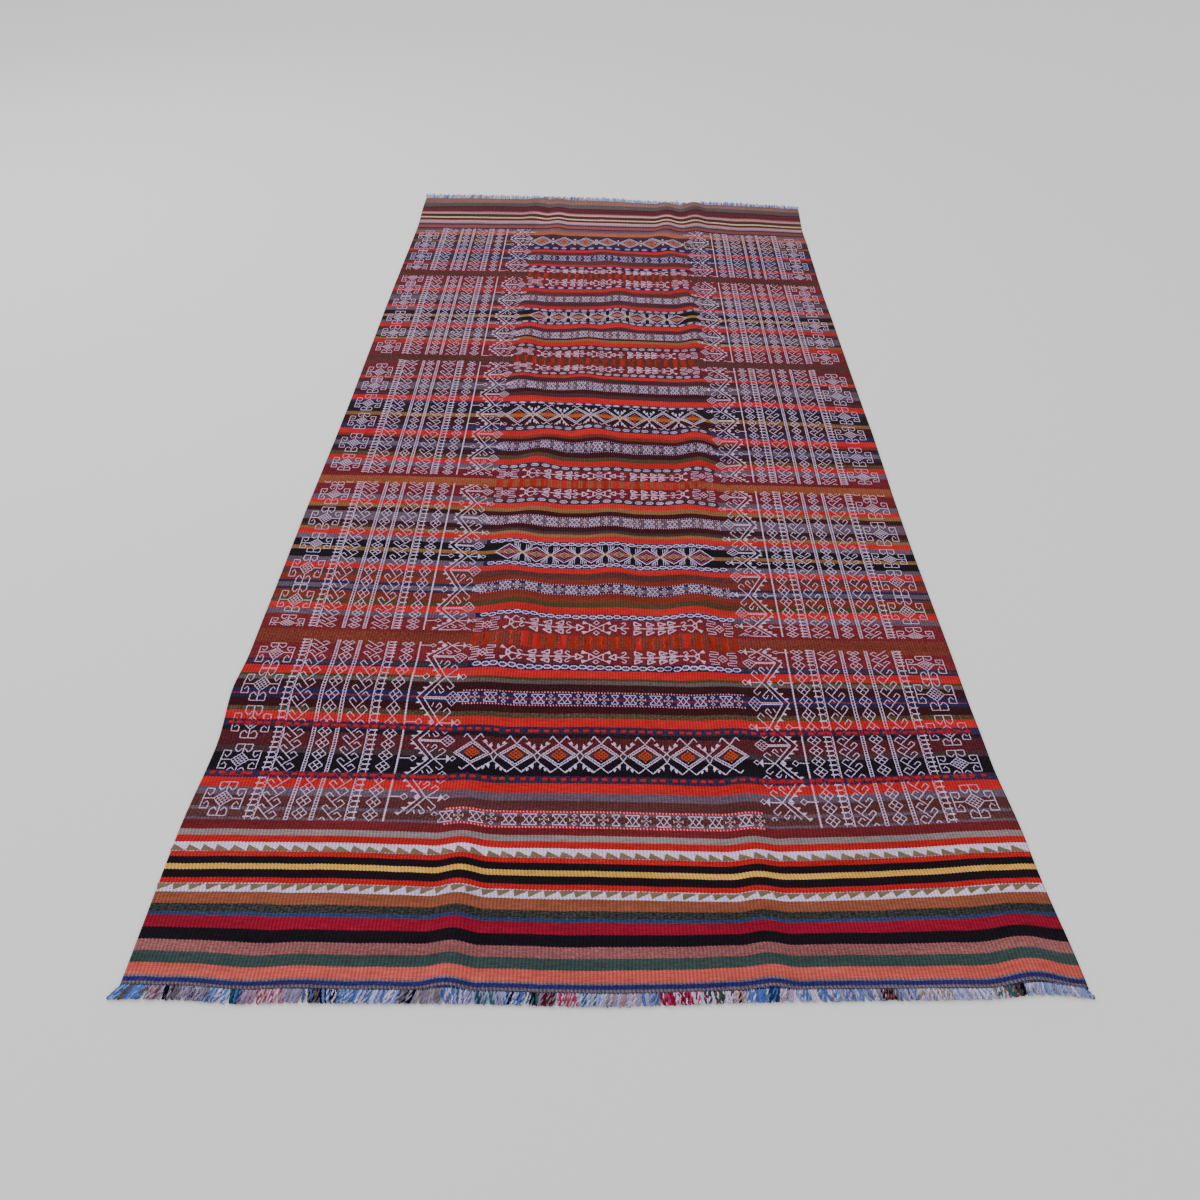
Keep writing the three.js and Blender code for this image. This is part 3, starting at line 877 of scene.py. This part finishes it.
# The star in the middle of a tree band, and what stands to its right, turned about it.
TREE_STAR = both_sides(both_ways([
    white(3.4, (0, 0), (16, 10.5), (16, 0)),
    white(2.8, (16, 10.5), (25, 15.5)),
    diamond("white", 6.5, 2.8, 0, 16),
    white((12, 1), (32, 16), (20, 13)),
]))
TREE_ARROW = both_ways([
    white(4.4, (-9, 0), (7, 10), (7, 0)),
    white(3.4, (7, 0), (18, 0)),
])
TREE_HOOK = both_ways([
    white(3.0, (0, 0), (15, 12.5), (10.5, 19), (3.5, 14)),
    white(1.8, (0, 0.9), (22, 0.9)),
])
TREE_FIN = both_ways([
    white(3.8, (0, 7), (0, 21), (18, 11.5), (1, 8)),
    white(3.0, (0, 3.6), (14, 3.6)),
    white(1.8, (0, 0.9), (30, 0.9)),
])
TREE_CURL = both_ways([
    white(3.0, (0, 0), (9, 9), (4, 14.5), (-3, 9)),
    white(1.8, (0, 0.9), (24, 0.9)),
])
TREE_END = both_ways([
    white(3.0, (0, 0), (6, 9), (-3, 21), (-11, 15)),
    white(3.6, (0, 0), (10, 10), (10, 0)),
    white(2.6, (10, 9), (17, 16)),
    white((11, 1), (23, 18), (13, 12)),
])
SERPENT = both_ways([white(2.5, (12, 21), (-12, 19.5), (-12, 13), (13, 12), (14, 5), (-8, 4))])
NET_DIAMOND = [
    diamond("white", 11.5, 2.6),
    white(2.2, (-5.7, 5.7), (5.7, -5.7)),
    white(2.2, (-5.7, -5.7), (5.7, 5.7)),
]
# How far out from the star each chart stands, on its right and on its left.
TREE_RIGHT = [
    (38, TREE_ARROW), (55, TREE_HOOK), (89, TREE_FIN), (119, TREE_FIN), (147, TREE_FIN),
    (170, TREE_FIN), (203, TREE_CURL), (227, TREE_END),
]
TREE_LEFT = [
    (38, TREE_ARROW), (55, TREE_HOOK), (77, TREE_FIN), (105, TREE_FIN), (136, TREE_FIN),
    (168, TREE_CURL), (190, TREE_END),
]
LINK = [
    white(5.0, (-9.7, 0), (-4.2, 5), (4.2, 5), (9.7, 0), (4.2, -5), (-4.2, -5), (-9.7, 0)),
    ("rose", 2.8, (-4, 0), (4, 0)),
]
LINK_PITCH = 39
FILLED_LINK = [
    white(4.6, (-9.7, 0), (-6, 4), (6, 4), (9.7, 0), (6, -4), (-6, -4), (-9.7, 0)),
    ("lilac", 5, (-6, 0), (6, 0)),
]
PLUM_LINK_PITCH = 29
NAVY_LINK_PITCH = 36
BEAD = [white(4.2, (0, -2.1), (0, 2.1))]
EDGE_BEAD = [("mauve", 2.2, (0, -1.4), (0, 1.4))]
DASH = [("red", 7, (-5.5, 0), (5.5, 0))]
DASH_GAP = [("umber", 5, (-2.5, 0), (2.5, 0))]
SIDE_DASH = [("garnet", 3, (-4, 0), (4, 0))]
# A light streak in a block, how many blocks have one, and how wide and how far apart they are.
BLOCK_LIGHT = [("coral", 1.8, (-1.5, -13), (1.5, -7), (-1.5, 0), (1.5, 7), (-1.5, 13))]
LIGHT_SHARE = 0.7
BLOCK_WIDE = (11, 19)
BLOCK_APART = (10, 17)
SAWTOOTH = [("tooth", (15, 1.5), (0, 7.5), (25.5, 1))]
# The end bands: how far they run across, then where each row of a kind lies along the rug.
FULL_WIDTH = (-796, 792)
TOOTHED = (-813, 776)
SAWTOOTH_PITCH = 27.5
SAWTOOTH_ROWS = ((251.5, 1), (184.5, -1))
DASH_PITCH = 20
DASH_LINES = (431, 555)
# What a dash line is made of: chart, how far along from the line, phase, scatter, crest.
DASH_LAYERS = [
    (DASH, 0, 0.0, 2.2, 0.5), (DASH_GAP, 0, 0.5, 1, 0.4), (SIDE_DASH, 6.5, 0.3, 2, 0.4),
    (SIDE_DASH, -6.5, 0.1, 2, 0.4),
]
EDGE_BEAD_LINES = (-2, 10.5)


def fit(start, end, chart_tall):
    """The middle of a band, and how far its charts are stretched along the rug to fill it."""
    return (start + end) / 2, (end - start) / chart_tall


def row(pitch, s, span=FIELD, phase=0.0, scatter=0.0):
    """Origins of a chart repeated across the rug."""
    across = np.arange(span[0] + pitch * (0.5 + phase), span[1], pitch)
    across = across + rng.normal(0, scatter, len(across))
    return np.stack([across, np.full(len(across), float(s))], axis=1)


def ground_strip(chunks, yarn, s, wide):
    """A flat strip of another ground colour, the width of the field."""
    strip = [(yarn, float(wide), (FIELD[0], 0), (FIELD[1], 0))]
    stitch(chunks, strip, [(0, s)], crest=0.3)


def sprig_band(chunks, start, end):
    middle, tall = fit(start, end, SPRIG_TALL)
    at = FIELD[0] + 3
    k = 0
    while at < FIELD[1]:
        chart, step = SPRIG_ROW[k % len(SPRIG_ROW)]
        stitch(chunks, chart, [(at, middle)], turn=(1, tall))
        at += step + rng.uniform(-1, 1)
        k += 1
    edging = "red" if start < RED_EDGE_UNTIL else "garnet"
    for s in (start - 3, end + 3):
        ground_strip(chunks, edging, s, 6)
        stitch(chunks, BEAD, row(RIB, s))


def rope_band(chunks, start, end):
    middle, tall = fit(start, end, ROPE_TALL)
    plum = PLUM_ROPE_FROM < start <= NAVY_ROPE_FROM
    ground_strip(chunks, "plum" if plum else "navy", middle, end - start - 1)
    if start > PLUM_ROPE_FROM:
        links = row(PLUM_LINK_PITCH if plum else NAVY_LINK_PITCH, middle, scatter=1.5)
        stitch(chunks, FILLED_LINK, links, turn=(1.05, tall))
        return
    for side in (-1, 1):
        origins = row(LINK_PITCH, middle - side, phase=0.25 * side + 0.25, scatter=0.5)
        stitch(chunks, LINK, origins, turn=(1, tall))


def tree_band(chunks, start, end):
    middle, tall = fit(start, end, TREE_TALL)
    stitch(chunks, TREE_STAR, [(TREE_MIDDLE, middle)], turn=(1, tall))
    for way, charts in ((1, TREE_RIGHT), (-1, TREE_LEFT)):
        for out, chart in charts:
            stitch(chunks, chart, [(TREE_MIDDLE + way * out, middle)], turn=(way, tall))
    for u in NETS_AT:
        stitch(chunks, NET_DIAMOND, [(u, middle)], turn=(1, tall))
    for u, wide in SERPENTS_AT:
        stitch(chunks, SERPENT, [(u, middle)], turn=(wide, tall))


def block_band(chunks, start, end):
    middle, tall = fit(start, end, 1)
    shades = ("block", "red") if start < BRICK_BLOCK_FROM else ("brick", "block")
    at = FIELD[0]
    while at < FIELD[1] - 8:
        wide = rng.uniform(*BLOCK_WIDE)
        yarn = (shades[0], shades[0], shades[1])[rng.integers(3)]
        block = [(yarn, tall * 0.98, (-wide / 2, 0), (wide / 2, 0))]
        stitch(chunks, block, [(at + wide / 2, middle)], crest=0.15)
        if rng.random() < LIGHT_SHARE:
            light = (at + wide * rng.uniform(0.1, 0.9), middle)
            stitch(chunks, BLOCK_LIGHT, [light], turn=(1, tall / 30), crest=0.5)
        at += wide + rng.uniform(*BLOCK_APART)


def lozenge_band(chunks, start, end):
    middle = (start + end) / 2
    origins = [(u, middle) for u in LOZENGES_AT]
    gaps = [((a + b) / 2, middle) for a, b in zip(LOZENGES_AT[:-1], LOZENGES_AT[1:])]
    if start > FAR_LOZENGE_FROM:
        stitch(chunks, FAR_LOZENGE, origins)
        return
    if start > TALL_LOZENGE_FROM:
        stitch(chunks, LOZENGE, origins, turn=(1.1, 1.4))
        stitch(chunks, TALL_HORNS, origins)
        stitch(chunks, LOZENGE_GAP, gaps, turn=(0.75, 1.2))
        return
    stitch(chunks, LOZENGE + LOZENGE_HORNS, origins)
    stitch(chunks, LOZENGE_GAP, gaps)


def diamond_band(chunks, start, end):
    middle, tall = fit(start, end, DIAMOND_TALL)
    stitch(chunks, BAND_DIAMOND, [(u, middle) for u in DIAMONDS_AT], turn=(1, tall))
    gaps = [(a + b) / 2 for a, b in zip(DIAMONDS_AT[:-1], DIAMONDS_AT[1:])]
    stitch(chunks, FIR_COMB, [(u, middle) for u in gaps], turn=(1, tall))


def middle_field(low, high):
    """The patterned bands that start between two places along the rug."""
    draw = {
        "sprig": sprig_band, "rope": rope_band, "tree": tree_band, "block": block_band,
        "lozenge": lozenge_band, "diamond": diamond_band,
    }
    chunks = []
    for kinds, *edges in BANDS:
        for kind, start, end in zip(kinds.split(), edges, edges[1:]):
            if low <= start < high:
                draw[kind](chunks, start, end)
    return chunks


def end_bands():
    """Sawtooth borders and dash rows that run the whole width."""
    chunks = []
    for s, way in SAWTOOTH_ROWS:
        teeth = row(SAWTOOTH_PITCH, s, TOOTHED, scatter=1)
        stitch(chunks, SAWTOOTH, teeth, turn=(1, way), crest=0.5)
    for s in DASH_LINES:
        for chart, off, phase, scatter, crest in DASH_LAYERS:
            dashes = row(DASH_PITCH, s + off, FULL_WIDTH, phase=phase, scatter=scatter)
            stitch(chunks, chart, dashes, crest=crest)
    for s in EDGE_BEAD_LINES:
        stitch(chunks, EDGE_BEAD, row(RIB, s, FULL_WIDTH, scatter=0.3), crest=0.5)
    return chunks


# Fringe: each loop is a strand that goes out from the cloth, turns and winds back round itself.

FRINGES = [
    # Node, edge along the weave, way out, pitch, reach at left and right, how uneven that is.
    ("near_fringe", START, -1, 3.9, (25, 18), 0.6),
    ("far_fringe", END, 1, 5.6, (42, 28), 6),
]
# The yarns of the fringe from left to right: until where, lean across, then the yarns mixed there.
FRINGE_PATCHES = {
    "near_fringe": [
        (-754, -9, "sky sky ice ash"), (-725, -3, "mauve rose lilac"), (-704, 3, "ash black lilac"),
        (-652, 4, "lilac mauve ash"), (-614, -5, "sky white ice"), (-597, 2, "steel sky teal"),
        (-574, -4, "mauve magenta lilac"), (-528, 6, "white blush magenta"), (-499, -4, "mauve lilac"),
        (-435, 7, "white sky ash black"), (-340, -7, "sky ice white sky"),
        (-308, -8, "ash black lilac"), (-274, -4, "beige mauve lilac"), (-222, 3, "sky lilac white"),
        (-164, 6, "teal ice lilac"), (-132, -5, "black white sky"), (-112, 5, "black teal white"),
        (-83, -4, "mauve wine ash"), (-45, 4, "blush white magenta"), (0, -4, "ice white teal"),
        (58, -6, "white lilac blush"), (87, 3, "lilac sky"), (162, 7, "white magenta crimson white"),
        (212, 4, "sage white green"), (232, -5, "black blush white"), (267, 3, "sky white sky"),
        (284, -2, "steel sky"), (313, -4, "blush lilac white"), (451, 6, "sky white ice mauve"),
        (471, 4, "rose black white"), (512, 6, "sky ash lilac"), (570, 7, "lilac white beige"),
        (639, 7, "ice lilac white"), (677, 6, "beige teal white rose"), (691, 5, "black sage"),
        (790, 7, "white lilac ice"), (900, 4, "teal sky ice"),
    ],
    "far_fringe": [
        (-700, -2, "ice white sky"), (-500, 3, "white lilac mauve"), (-300, -3, "ice white"),
        (-100, 4, "lilac white ash"), (200, -3, "white ice"), (500, 3, "lilac sky white"),
        (900, 4, "sky ice white"),
    ],
}


# A loop's yarn and its twist, how far every other loop lies above its neighbours, and from what
# share of the half width on the loops fan out, and how far.
YARN_RADIUS = 1.5
TWIST_SWELL = 0.14
LOOP_STATIONS = 24
TUBE_SIDES = 6
LOOP_STEP = 1.4
FAN_START = 0.94
FAN_REACH = 9


def tube(chunks, line, colours):
    """A round yarn along a line of points, in metres, with a colour at each point."""
    run = np.gradient(line, axis=0)
    run /= np.maximum(np.linalg.norm(run, axis=1, keepdims=True), 1e-9)
    side = np.cross(run, (0.0, 0.0, 1.0))
    side /= np.maximum(np.linalg.norm(side, axis=1, keepdims=True), 1e-6)
    rise = np.cross(side, run)
    angle = np.arange(TUBE_SIDES) / TUBE_SIDES * 2 * math.pi
    ring = np.cos(angle)[None, :, None] * side[:, None] + np.sin(angle)[None, :, None] * rise[:, None]
    swell = YARN_RADIUS * MM * (1 + TWIST_SWELL * (-1.0) ** np.arange(len(line)))[:, None, None]
    points = (line[:, None] + ring * swell).reshape(-1, 3)
    index = np.arange(len(line) * TUBE_SIDES).reshape(len(line), TUBE_SIDES)
    beyond = np.roll(index, -1, axis=1)
    quads = np.stack([index[:-1], index[1:], beyond[1:], beyond[:-1]], axis=-1).reshape(-1, 4)
    chunks.append((points, quads, np.repeat(colours, TUBE_SIDES, axis=0)))


def make_fringe(name, edge, way, pitch, reaches, uneven, material):
    """Plied loops side by side, rooted in the cloth's edge and resting on the floor."""
    chunks = []
    t = np.linspace(0, 1, LOOP_STATIONS)
    out_share = 1 - np.abs(2 * t - 1)
    turned = np.clip((t - 0.4) / 0.2, 0, 1)
    turned = turned * turned * (3 - 2 * turned)
    for order, u in enumerate(np.arange(-HALF_WIDTH + 3, HALF_WIDTH - 2, pitch)):
        patch_lean, yarns = next(patch[1:] for patch in FRINGE_PATCHES[name] if u < patch[0])
        yarns = yarns.split()
        share = (u + HALF_WIDTH) / (2 * HALF_WIDTH)
        out = reaches[0] + (reaches[1] - reaches[0]) * share + rng.normal(0, uneven)
        fan = max(0.0, (abs(u) / HALF_WIDTH - FAN_START) / (1 - FAN_START))
        lean = 0.8 * patch_lean + rng.normal(0, 1.6) + fan * FAN_REACH * np.sign(u)
        wind = 2 * math.pi * rng.uniform(1.3, 1.8) * out_share + math.pi * turned + rng.uniform(0, 6)
        base = place(np.full(len(t), u), np.full(len(t), float(edge)), -1.2)
        line = base.copy()
        line[:, 0] += (lean * out_share + YARN_RADIUS * np.cos(wind)) * MM
        line[:, 1] += way * (out * out_share - 2) * MM
        drop = np.clip(out_share * 1.2, 0, 1)
        rest = 2 * YARN_RADIUS + (order % 2) * LOOP_STEP + YARN_RADIUS * np.sin(wind)
        line[:, 2] = base[:, 2] * (1 - drop) + rest * drop * MM
        line[:, 2] = np.maximum(line[:, 2], YARN_RADIUS * 1.15 * MM)
        plies = [np.array(dye(yarns[rng.integers(len(yarns))])) for _ in range(2)]
        # Each loop is darkened at random: partly painted shade for plies lying in shadow, partly yarn
        # that differs in tone.
        colours = np.where((t < 0.5)[:, None], plies[0], plies[1]) * rng.uniform(0.6, 1.05)
        tube(chunks, line, colours)
    return make_piece(name + "_loops", chunks, material, name, "fringe_yarn")


# Where the near half of the field's pattern ends.
FIELD_SPLIT = 1700

cloth = make_cloth(woven_ground())
pattern_wool = pattern_yarn("wool_pattern_weft_raised", 900, 0.0004)
fringe_wool = pattern_yarn("wool_warp_loops_plied", 700, 0.0005)
patterns = {
    "panel_pattern_left": side_panel(SIDES[0]),
    "panel_pattern_right": side_panel(SIDES[1]),
    "field_pattern_near": middle_field(START, FIELD_SPLIT),
    "field_pattern_far": middle_field(FIELD_SPLIT, END),
    "border_pattern": end_bands(),
}
added = [make_piece(*item, pattern_wool, "rug_cloth", "woven_wool") for item in patterns.items()]
added += [make_fringe(*fringe, fringe_wool) for fringe in FRINGES]

# Floor, light and camera.

FLOOR_SIZE = 14
FLOOR_TONE = (0.93, 0.93, 0.93, 1)
SKY_STRENGTH = 0.95
LAMP_POWER = 75
LAMP_SIZE = 3
LAMP_AT = (-3.0, 1.5, 3.6)
LAMP_TURN = (math.radians(-18), math.radians(-38), 0)
CAMERA_AT = (-0.022, -2.490, 1.547)
CAMERA_PITCH = math.radians(42.65)
CAMERA_ROLL = math.radians(0.85)
CAMERA_LENS = 28.5
CAMERA_SENSOR = 36
CAMERA_CLIP = 50

floor_mesh = bpy.data.meshes.new("floor")
floor_grid = bmesh.new()
bmesh.ops.create_grid(floor_grid, x_segments=1, y_segments=1, size=FLOOR_SIZE / 2)
floor_grid.to_mesh(floor_mesh)
floor_grid.free()
floor = new_object("floor", floor_mesh)
floor_material, floor_tree = new_material("painted_floor")
floor_shader = floor_tree.nodes["Principled BSDF"]
floor_shader.inputs["Base Color"].default_value = FLOOR_TONE
floor_shader.inputs["Roughness"].default_value = 0.9
floor_mesh.materials.append(floor_material)

world = bpy.data.worlds.new("studio")
world.use_nodes = True
sky = world.node_tree.nodes["Background"]
sky.inputs[0].default_value = (1, 1, 1, 1)
sky.inputs[1].default_value = SKY_STRENGTH
bpy.context.scene.world = world

lamp_data = bpy.data.lights.new("soft_box", "AREA")
lamp_data.energy = LAMP_POWER
lamp_data.size = LAMP_SIZE
lamp = new_object("soft_box", lamp_data)
lamp.location = LAMP_AT
lamp.rotation_euler = LAMP_TURN

camera_data = bpy.data.cameras.new("camera")
camera_data.lens = CAMERA_LENS
camera_data.sensor_width = CAMERA_SENSOR
camera_data.clip_end = CAMERA_CLIP
camera = new_object("camera", camera_data)
tilt = Matrix.Rotation(math.pi / 2 - CAMERA_PITCH, 4, "X")
roll = Matrix.Rotation(CAMERA_ROLL, 4, "Z")
camera.matrix_world = Matrix.Translation(CAMERA_AT) @ tilt @ roll
bpy.context.scene.camera = camera
